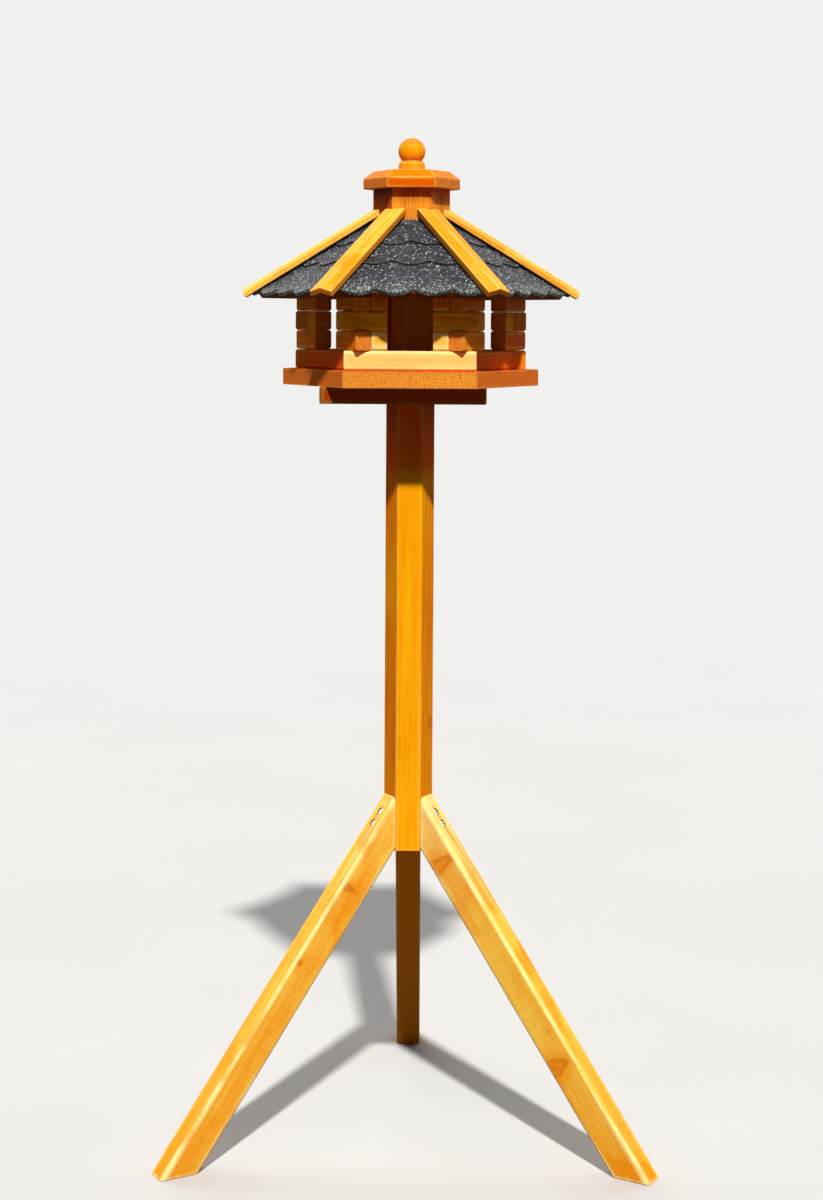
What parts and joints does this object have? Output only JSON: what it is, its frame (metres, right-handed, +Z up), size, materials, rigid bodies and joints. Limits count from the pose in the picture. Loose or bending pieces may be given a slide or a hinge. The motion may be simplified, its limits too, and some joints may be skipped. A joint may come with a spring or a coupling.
{
  "type": "bird table",
  "caption": "Hexagonal log-walled bird feeding house on a post with splayed legs, with a shingled roof, a central feed silo and a lift-off cap.",
  "frame": {"origin": "on the ground, under the middle of the whole table's box", "axes": "+Z up along the post; -Y towards the front of the feeding house; the rear leg runs out along +Y"},
  "size_m": [0.7218, 0.632, 1.4823],
  "materials": {
    "amber_pine": "pine under an amber outdoor glaze, satin",
    "honey_pine": "pine under a honey outdoor glaze, satin",
    "red_pine": "pine under a red-brown outdoor glaze, satin",
    "bitumen_felt": "anthracite mineral granules on bitumen felt, matt",
    "zinced_steel": "zinc plated, slightly dulled"
  },
  "bodies": {
    "table": {"post": "amber_pine", "leg_left": "honey_pine", "leg_left_screw_upper": "zinced_steel", "leg_left_screw_lower": "zinced_steel", "leg_right": "honey_pine", "leg_right_screw_upper": "zinced_steel", "leg_right_screw_lower": "zinced_steel", "leg_rear": "honey_pine", "leg_rear_screw_upper": "zinced_steel", "leg_rear_screw_lower": "zinced_steel", "mounting_plate": "amber_pine", "plate_screw_left": "zinced_steel", "plate_screw_right": "zinced_steel", "platform": "amber_pine", "rail_front": "honey_pine", "rail_front_right": "honey_pine", "rail_back_right": "honey_pine", "rail_back": "honey_pine", "rail_back_left": "honey_pine", "rail_front_left": "honey_pine", "corner_front_right_course_1": "amber_pine", "corner_front_right_course_2": "amber_pine", "corner_front_right_course_3": "amber_pine", "corner_right_course_1": "amber_pine", "corner_right_course_2": "amber_pine", "corner_right_course_3": "amber_pine", "corner_back_right_course_1": "amber_pine", "corner_back_right_course_2": "amber_pine", "corner_back_right_course_3": "amber_pine", "corner_back_left_course_1": "amber_pine", "corner_back_left_course_2": "amber_pine", "corner_back_left_course_3": "amber_pine", "corner_left_course_1": "amber_pine", "corner_left_course_2": "amber_pine", "corner_left_course_3": "amber_pine", "corner_front_left_course_1": "amber_pine", "corner_front_left_course_2": "amber_pine", "corner_front_left_course_3": "amber_pine", "top_ring": "amber_pine", "silo": "red_pine", "roof_board_front": "red_pine", "roof_board_front_right": "red_pine", "roof_board_back_right": "red_pine", "roof_board_back": "red_pine", "roof_board_back_left": "red_pine", "roof_board_front_left": "red_pine", "shingles_front": "bitumen_felt", "shingles_front_right": "bitumen_felt", "shingles_back_right": "bitumen_felt", "shingles_back": "bitumen_felt", "shingles_back_left": "bitumen_felt", "shingles_front_left": "bitumen_felt", "hip_strip_front_right": "honey_pine", "hip_strip_right": "honey_pine", "hip_strip_back_right": "honey_pine", "hip_strip_back_left": "honey_pine", "hip_strip_left": "honey_pine", "hip_strip_front_left": "honey_pine"},
    "cap": {"cap": "amber_pine", "knob": "amber_pine"}
  },
  "joints": [
    {"name": "cap_lift", "type": "slide", "parent": "table", "child": "cap", "axis": [0, 0, 1], "range_m": [0, 0.15]}
  ]
}
